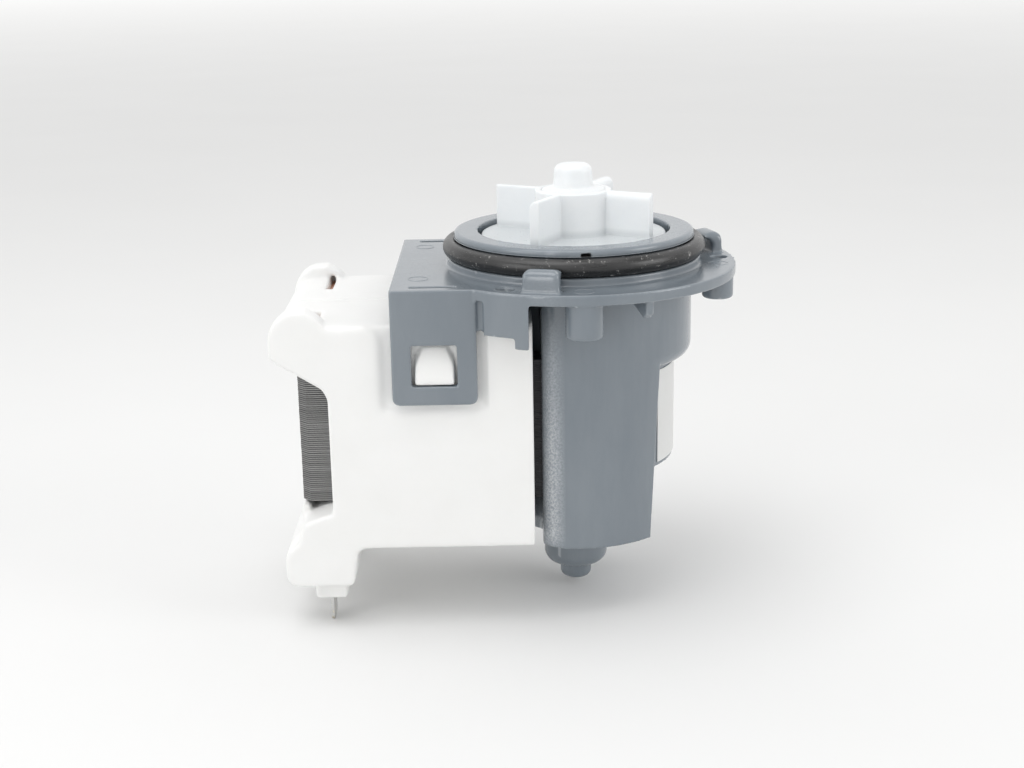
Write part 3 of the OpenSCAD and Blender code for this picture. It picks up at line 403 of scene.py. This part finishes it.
WHEEL_WHITE = (0.775, 0.796, 0.808, 1.0)
WHEEL_PALE = (0.805, 0.822, 0.830, 1.0)
# Tone for the painted shade on the impeller's back disc.
WHEEL_DISC_SHADE = (0.54, 0.57, 0.585, 1.0)
DISC_HEIGHT = (7.2 * MM, 9.0 * MM)
wheel_white, shader = moulded("wheel_white", WHEEL_WHITE, WHEEL_PALE, rough=(0.26, 0.42), flow=110.0,
                              grain=1500.0, depth=0.00003)
shader.inputs["Subsurface Weight"].default_value = 0.35
shader.inputs["Subsurface Radius"].default_value = (1.0, 1.05, 1.1)
shader.inputs["Subsurface Scale"].default_value = 0.0016
nodes, links = wheel_white.node_tree.nodes, wheel_white.node_tree.links
# Painted shade darkens the back disc, fading out between 7.2 mm and 9 mm height.
disc_shade = between(nodes, links, place_of(nodes, links)["Z"], DISC_HEIGHT, (0.8, 0.0))
over_coat(wheel_white, shader, disc_shade, WHEEL_DISC_SHADE)
remoulded("impeller", cell=0.22 * MM, rounds=7, keep=0.2, body="wheel", finish=wheel_white)
remoulded("impeller_cap", cell=0.2 * MM, rounds=6, keep=0.3, body="wheel",
          finish=wheel_white)

# Seal ring
# A moulded rubber ring stretched round the spigot under its lip. It is black where it is clean,
# with dust and lime rubbed into its upper side.

RUBBER = (0.009, 0.009, 0.009, 1.0)
RUBBER_GREY = (0.028, 0.028, 0.029, 1.0)
DUST = (0.045, 0.044, 0.044, 1.0)
LIME = (0.50, 0.49, 0.47, 1.0)
ring_rubber, nodes, links, shader, where = new_finish("dusty_rubber")
facing = nodes.new("ShaderNodeNewGeometry")
apart = nodes.new("ShaderNodeSeparateXYZ")
links.new(facing.outputs["Normal"], apart.inputs["Vector"])
upward = between(nodes, links, apart.outputs["Z"], (0.1, 0.95), NONE_TO_ALL)
smear = speckle(nodes, links, where, 130.0, detail=6.0, rough=0.7, stretch=(1.0, 1.0, 6.0))
dusting = product(nodes, links, upward, between(nodes, links, smear, (0.34, 0.66), (0.15, 1.0)))
worn = speckle(nodes, links, where, 760.0, detail=4.0, rough=0.75)
base = two_tone(nodes, links, between(nodes, links, smear, SPECKLE_SPAN, NONE_TO_ALL), RUBBER, RUBBER_GREY)
dusty = two_tone(nodes, links, dusting, base, DUST)
flecks = between(nodes, links, worn, (0.61, 0.70), (0.0, 0.85))
links.new(two_tone(nodes, links, flecks, dusty, LIME), shader.inputs["Base Color"])
links.new(between(nodes, links, smear, SPECKLE_SPAN, (0.2, 0.42)), shader.inputs["Roughness"])
relief(nodes, links, shader, worn, depth=0.00005, strength=0.6)
dress("seal_ring", ring_rubber)

# Lamination stack
# About seventy punched sheets of electrical steel, 0.5 mm each, stacked on top of each other.
# No two edges lie quite flush, so the stack shows fine lines and small glints; painted shade darkens each sheet's
# rolled edges, in the grooves between sheets.

SHEET_PITCH = 0.503 * MM
SHEET_ROLL = 0.16 * MM
SHEET_SHIFT = 0.05 * MM
SHEET_TONES = (0.72, 1.0)
# The dark tone is the painted shade of the grooves; a little of it goes into each sheet's random tone.
GROOVE_SHADE_TONE = (0.045, 0.045, 0.046, 1.0)
CORE_PALE = (0.29, 0.29, 0.285, 1.0)
# Painted shade for the legs towards the tower, where they lie in the gap beside the covers.
LEG_SHADE = (0.055, 0.055, 0.057, 1.0)
LEG_START = (-18.0 * MM, -13.0 * MM)


def outline_below(node):
    """Corner points of a node's flat underside, in order."""
    shape = bmesh.new()
    shape.from_mesh(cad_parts[node].data)
    bmesh.ops.remove_doubles(shape, verts=shape.verts, dist=2e-6)
    shape.normal_update()
    under = {face for face in shape.faces if face.normal.z < -0.99}
    rim = [edge for edge in shape.edges if len([face for face in edge.link_faces if face in under]) == 1]
    after = {}
    for edge in rim:
        face = [one for one in edge.link_faces if one in under][0]
        loop = [one for one in edge.link_loops if one.face is face][0]
        after[loop.vert] = loop.link_loop_next.vert
    start = next(iter(after))
    points = [start.co.copy()]
    corner = after[start]
    while corner is not start:
        points.append(corner.co.copy())
        corner = after[corner]
    shape.free()
    return points


def drawn_in(points, step):
    """A closed outline moved inwards by a small step, each corner along its bisector."""
    moved = []
    for i, here in enumerate(points):
        came = (here - points[i - 1]).normalized()
        goes = (points[(i + 1) % len(points)] - here).normalized()
        side = Vector((came.y + goes.y, -came.x - goes.x))
        reach = max(0.3, side.length_squared / 2)
        moved.append(here + side / reach * step * 0.5)
    return moved


random.seed(7)
low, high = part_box("stator_core")
sheet_edge = [point.xy for point in outline_below("stator_core")]
rolled_edge = drawn_in(sheet_edge, SHEET_ROLL)
rise = ((0.02, rolled_edge), (0.34, sheet_edge), (0.72, sheet_edge), (0.98, rolled_edge))
sheet_count = int(round((high[2] - low[2]) / SHEET_PITCH))
pitch = (high[2] - low[2]) / sheet_count
stack = bmesh.new()
shade = stack.verts.layers.float.new("sheet_tone_and_groove_shade")
for i in range(sheet_count):
    slip = Vector((random.uniform(0.0, SHEET_SHIFT), random.uniform(-SHEET_SHIFT, SHEET_SHIFT)))
    tone = random.uniform(*SHEET_TONES)
    loops = []
    for share, outline in rise:
        loops.append([stack.verts.new((*(point + slip), low[2] + (i + share) * pitch)) for point in outline])
        for corner in loops[-1]:
            # Rolled edges get tone nought: painted shade in the grooves between sheets.
            corner[shade] = tone if outline is sheet_edge else 0.0
    stack.faces.new(loops[0])
    stack.faces.new(list(reversed(loops[-1])))
    for under, over in zip(loops, loops[1:]):
        for k in range(len(under)):
            after = (k + 1) % len(under)
            stack.faces.new((under[after], under[k], over[k], over[after]))
bmesh.ops.recalc_face_normals(stack, faces=stack.faces)
stack_mesh = bpy.data.meshes.new("lamination_stack")
stack.to_mesh(stack_mesh)
stack.free()
core_steel, nodes, links, shader, where = new_finish("punched_steel")
own_tone = nodes.new("ShaderNodeAttribute")
own_tone.attribute_name = "sheet_tone_and_groove_shade"
scale = speckle(nodes, links, where, 700.0, detail=4.0, rough=0.7)
steel = two_tone(nodes, links, own_tone.outputs["Fac"], GROOVE_SHADE_TONE, CORE_PALE)
# Painted shade darkens the legs from 18 mm to 13 mm left of the axis onwards, towards the tower.
leg_shade = between(nodes, links, place_of(nodes, links)["X"], LEG_START, NONE_TO_ALL)
links.new(two_tone(nodes, links, leg_shade, steel, LEG_SHADE), shader.inputs["Base Color"])
links.new(between(nodes, links, scale, SPECKLE_SPAN, (0.34, 0.55)), shader.inputs["Roughness"])
shader.inputs["Metallic"].default_value = 0.85
relief(nodes, links, shader, scale, depth=0.00003, strength=0.5)
stack_mesh.materials.append(core_steel)
lamination_stack = bpy.data.objects.new("lamination_stack", stack_mesh)
bpy.context.scene.collection.objects.link(lamination_stack)
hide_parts("stator_core")
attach(lamination_stack, "housing")

# Bobbins, windings, fuse and lead wires
# White bobbins slide on the legs and carry close turns of enamelled copper wire. A black
# thermal fuse lies on the front winding, and wire ends lie in the upper ears.

BOBBIN_WHITE = (0.66, 0.66, 0.64, 1.0)
BOBBIN_PALE = (0.72, 0.72, 0.70, 1.0)
COPPER = (0.40, 0.150, 0.062, 1.0)
COPPER_PALE = (0.58, 0.250, 0.115, 1.0)
WIRE_PITCH = 0.42 * MM
bobbin_white, shader = moulded("bobbin_white", BOBBIN_WHITE, BOBBIN_PALE, rough=(0.4, 0.55), flow=90.0,
                               grain=1500.0, depth=0.00003)
for node in ("front_bobbin", "rear_bobbin"):
    dress(node, bobbin_white)
copper_turns, nodes, links, shader, where = new_finish("enamelled_copper")
turns = nodes.new("ShaderNodeTexWave")
turns.bands_direction = "X"
turns.inputs["Scale"].default_value = 2 * math.pi / (20 * WIRE_PITCH)
turns.inputs["Distortion"].default_value = 0.4
links.new(where, turns.inputs["Vector"])
tint = speckle(nodes, links, where, 300.0)
links.new(two_tone(nodes, links, between(nodes, links, tint, SPECKLE_SPAN, NONE_TO_ALL), COPPER, COPPER_PALE),
          shader.inputs["Base Color"])
links.new(between(nodes, links, tint, SPECKLE_SPAN, (0.25, 0.4)), shader.inputs["Roughness"])
shader.inputs["Metallic"].default_value = 0.9
relief(nodes, links, shader, turns.outputs["Fac"], depth=0.0001, strength=0.8)
for node in ("front_winding", "rear_winding", "lead_wires"):
    dress(node, copper_turns)
dress("thermal_fuse", plate_dark)

# Coil covers
# Two white glass-filled covers, mirror images that meet in the middle plane. Their ears hold the
# yoke and the tabs, and their latches snap into the windows of the body's clips.

COVER_WHITE = (0.810, 0.810, 0.797, 1.0)
COVER_PALE = (0.835, 0.835, 0.826, 1.0)
cover_white, shader = moulded("cover_white", COVER_WHITE, COVER_PALE, rough=(0.38, 0.54), flow=55.0,
                              grain=1300.0, depth=0.00004)
shader.inputs["Subsurface Weight"].default_value = 0.12
shader.inputs["Subsurface Radius"].default_value = (1.0, 0.95, 0.9)
shader.inputs["Subsurface Scale"].default_value = 0.001

RIM_BELOW = -59.0
EARS_BEYOND = -54.0
SEAT_OUT = 26.0
SEAT_X = (-49.0, -21.0)
SEAT_Z = (-34.0, -8.0)
LATCH_X = (-39.5, -26.5)
LATCH_Z = (-24.0, -11.5)
LATCH_LEFT = -37.75
LATCH_RIGHT = -28.65
LATCH_ROOT = 27.7
LATCH_TOP = -13.2
CUT_FROM = -18.6
CUT_TALL = 4.4
CUT_WIDE = 1.9
CUT_SLOPE = 1.1
CUT_REACH = 0.4


def cover_rim(x, y, z):
    """The cover's lower edge and its ears."""
    return z < RIM_BELOW or x < EARS_BEYOND


def clip_seat(x, y, z):
    """The flat that the clip lies on, all round the latch but not the latch itself."""
    on_latch = LATCH_X[0] < x < LATCH_X[1] and LATCH_Z[0] < z < LATCH_Z[1]
    return abs(y) > SEAT_OUT and SEAT_X[0] < x < SEAT_X[1] and SEAT_Z[0] < z < SEAT_Z[1] and not on_latch


def latch_corners(x, y, z):
    """The two upper corners of a latch, cut away so that it slides under the clip."""
    side = min(x - LATCH_LEFT, LATCH_RIGHT - x)
    off = CUT_WIDE * min(1.0, (z - CUT_FROM) / CUT_TALL) - side
    if side > -CUT_REACH and CUT_FROM < z < LATCH_TOP and abs(y) > LATCH_ROOT and off > 0.0:
        y = math.copysign(max(LATCH_ROOT, abs(y) - CUT_SLOPE * off), y)
    return x, y, z


for node in ("front_cover", "rear_cover"):
    remoulded(node, cell=0.3 * MM, rounds=16, keep=0.15, body="housing", finish=cover_white,
              softer=((cover_rim, 30), (clip_seat, 90)), cut=latch_corners)

# Terminals
# Tinned brass tabs, punched from strip, 6.3 by 0.8 mm, with faint draw marks along their length.
# They sit in the covers' lower ears, and the brass shows where their edges are rubbed.

TIN = (0.55, 0.55, 0.54, 1.0)
TIN_PALE = (0.70, 0.70, 0.69, 1.0)
BARE_BRASS = (0.72, 0.66, 0.52, 1.0)
tin, shader = moulded("tinned_tab", TIN, TIN_PALE, rough=(0.22, 0.42), flow=500.0, grain=3600.0,
                      depth=0.00002, stretch=(3.0, 3.0, 0.25), edge_wear_and_highlight=BARE_BRASS)
shader.inputs["Metallic"].default_value = 1.0
for node in ("front_terminal", "rear_terminal"):
    remoulded(node, cell=0.09 * MM, rounds=2, keep=0.2, body="housing", finish=tin)

# Label
# A bare paper label glued round the tower's curved wall. Its fibres run upright, and damp has
# left faint stains in it.

LABEL_WHITE = (0.69, 0.695, 0.69, 1.0)
LABEL_STAIN = (0.66, 0.66, 0.648, 1.0)
paper_label, nodes, links, shader, where = new_finish("label_paper")
fibre = speckle(nodes, links, where, 1500.0, detail=6.0, rough=0.75, stretch=(1.0, 1.0, 0.3))
stain = speckle(nodes, links, where, 60.0, detail=4.0, rough=0.6)
links.new(two_tone(nodes, links, between(nodes, links, stain, (0.35, 0.7), NONE_TO_ALL), LABEL_WHITE, LABEL_STAIN),
          shader.inputs["Base Color"])
links.new(between(nodes, links, fibre, SPECKLE_SPAN, (0.55, 0.8)), shader.inputs["Roughness"])
relief(nodes, links, shader, fibre, depth=0.00003, strength=0.6)
dress("blank_label", paper_label)

# Camera
# The photograph's own lens, place and tilt, found from the outlines of the flange, the top plate
# and the impeller.

PHOTO_WIDTH = 1024
FOCAL_PIXELS = 1608.8
SENSOR = 36.0
ELEVATION = math.radians(16.034)
AZIMUTH = math.radians(0.03)
ROLL = math.radians(-1.065)
CAMERA_PLACE = (-15.73 * MM, -383.87 * MM, 79.30 * MM)
CLIP_START = 0.01
forward = Vector((math.sin(AZIMUTH) * math.cos(ELEVATION), math.cos(AZIMUTH) * math.cos(ELEVATION),
                  -math.sin(ELEVATION)))
level = Vector((math.cos(AZIMUTH), -math.sin(AZIMUTH), 0.0))
upright = level.cross(forward)
right = level * math.cos(ROLL) + upright * math.sin(ROLL)
up = upright * math.cos(ROLL) - level * math.sin(ROLL)
lens = bpy.data.cameras.new("photo_camera")
lens.sensor_width = SENSOR
lens.sensor_fit = "HORIZONTAL"
lens.lens = FOCAL_PIXELS * SENSOR / PHOTO_WIDTH
lens.clip_start = CLIP_START
camera = bpy.data.objects.new("photo_camera", lens)
camera.matrix_world = Matrix((
    (right.x, up.x, -forward.x, CAMERA_PLACE[0]),
    (right.y, up.y, -forward.y, CAMERA_PLACE[1]),
    (right.z, up.z, -forward.z, CAMERA_PLACE[2]),
    (0.0, 0.0, 0.0, 1.0)))
bpy.context.scene.collection.objects.link(camera)
bpy.context.scene.camera = camera

# Floor
# A plain sheet of pale studio paper just below the lowest tab. It is a little greyer in front, and
# its far parts glow faintly to the eye, as paper does that runs up into a bright backdrop.

FLOOR_Z = -83.6 * MM
FLOOR_REACH = 8.0
FLOOR_WHITE = (0.775, 0.775, 0.77, 1.0)
FLOOR_PALE = (0.80, 0.80, 0.795, 1.0)
FLOOR_FRONT = (0.71, 0.71, 0.705, 1.0)
FRONT_SPAN = (-1.0, -0.25)
GLOW_TINT = (1.0, 1.0, 0.99, 1.0)
GLOW_SPAN = (0.1, 4.0)
FAR_GLOW = 0.32


def looked_at(nodes, links):
    """One where the camera looks, straight or by a mirror or through glass, and nought for other light."""
    path = nodes.new("ShaderNodeLightPath")
    total = path.outputs["Is Camera Ray"]
    for kind in ("Is Glossy Ray", "Is Transmission Ray"):
        total = reckon(nodes, links, "ADD", total, path.outputs[kind])
        total.node.use_clamp = True
    return total


floor_mesh = bpy.data.meshes.new("floor")
floor_corners = ((-1, -1), (1, -1), (1, 1), (-1, 1))
floor_mesh.from_pydata([(x * FLOOR_REACH, y * FLOOR_REACH, FLOOR_Z) for x, y in floor_corners], [], [(0, 1, 2, 3)])
floor = bpy.data.objects.new("floor", floor_mesh)
bpy.context.scene.collection.objects.link(floor)
paper, nodes, links, shader, where = new_finish("studio_paper")
cloud = speckle(nodes, links, where, 9.0, detail=3.0, rough=0.5)
links.new(two_tone(nodes, links, cloud, FLOOR_WHITE, FLOOR_PALE), shader.inputs["Base Color"])
in_front = between(nodes, links, place_of(nodes, links)["Y"], FRONT_SPAN, ALL_TO_NONE)
over_coat(paper, shader, in_front, FLOOR_FRONT)
shader.inputs["Roughness"].default_value = 0.9
shader.inputs["Specular IOR Level"].default_value = 0.1
shader.inputs["Emission Color"].default_value = GLOW_TINT
away = nodes.new("ShaderNodeVectorMath")
away.operation = "LENGTH"
links.new(where, away.inputs[0])
glow = between(nodes, links, away.outputs["Value"], GLOW_SPAN, (0.0, FAR_GLOW))
links.new(product(nodes, links, looked_at(nodes, links), glow), shader.inputs["Emission Strength"])
floor_mesh.materials.append(paper)

# Lamps and room
# Three large soft boxes and a narrow one light the pump from above and from both sides. The white
# room round them is brighter behind the pump than in front of it.

LAMP_SPREAD = math.radians(120)
ROOM_FRONT = 0.60
ROOM_BACK = 1.05
ROOM_SPAN = (-0.5, 0.5)
BACKDROP = 0.95
WHITE = (1.0, 1.0, 1.0, 1.0)


def soft_lamp(name, place, aim, size, watts):
    """A soft box with a honeycomb, which keeps most of its light on the piece it is aimed at."""
    lamp = bpy.data.lights.new(name, "AREA")
    lamp.shape = "RECTANGLE"
    lamp.size, lamp.size_y = size
    lamp.energy = watts
    lamp.spread = LAMP_SPREAD
    holder = bpy.data.objects.new(name, lamp)
    holder.location = place
    holder.visible_camera = False
    holder.rotation_euler = (Vector(aim) - Vector(place)).to_track_quat("-Z", "Y").to_euler()
    bpy.context.scene.collection.objects.link(holder)


soft_lamp("top_lamp", place=(-0.20, -0.20, 0.70), aim=(-0.01, 0.0, -0.02), size=(0.6, 0.6), watts=1.1)
soft_lamp("left_lamp", place=(-0.80, -0.62, 0.25), aim=(-0.01, 0.0, -0.03), size=(0.5, 0.6), watts=0.88)
soft_lamp("right_lamp", place=(0.92, -0.36, 0.30), aim=(-0.01, 0.0, -0.02), size=(0.5, 0.6), watts=1.25)
soft_lamp("strip_lamp", place=(-0.42, -0.86, 0.10), aim=(-0.006, -0.024, -0.035), size=(0.12, 0.36), watts=0.26)

studio = bpy.data.worlds.new("studio")
bpy.context.scene.world = studio
studio.use_nodes = True
nodes, links = studio.node_tree.nodes, studio.node_tree.links
room = nodes["Background"]
room.inputs["Color"].default_value = WHITE
heading = nodes.new("ShaderNodeTexCoord")
apart = nodes.new("ShaderNodeSeparateXYZ")
links.new(heading.outputs["Generated"], apart.inputs["Vector"])
links.new(between(nodes, links, apart.outputs["Y"], ROOM_SPAN, (ROOM_FRONT, ROOM_BACK)), room.inputs["Strength"])
backdrop = nodes.new("ShaderNodeBackground")
backdrop.inputs["Color"].default_value = WHITE
backdrop.inputs["Strength"].default_value = BACKDROP
choice = nodes.new("ShaderNodeMixShader")
links.new(looked_at(nodes, links), choice.inputs["Fac"])
links.new(room.outputs["Background"], choice.inputs[1])
links.new(backdrop.outputs["Background"], choice.inputs[2])
links.new(choice.outputs["Shader"], nodes["World Output"].inputs["Surface"])
bpy.context.scene.view_settings.view_transform = "Standard"

# Size
# The box of the solids and the box of the dressed part, side by side in metres.

low, high = cad_box
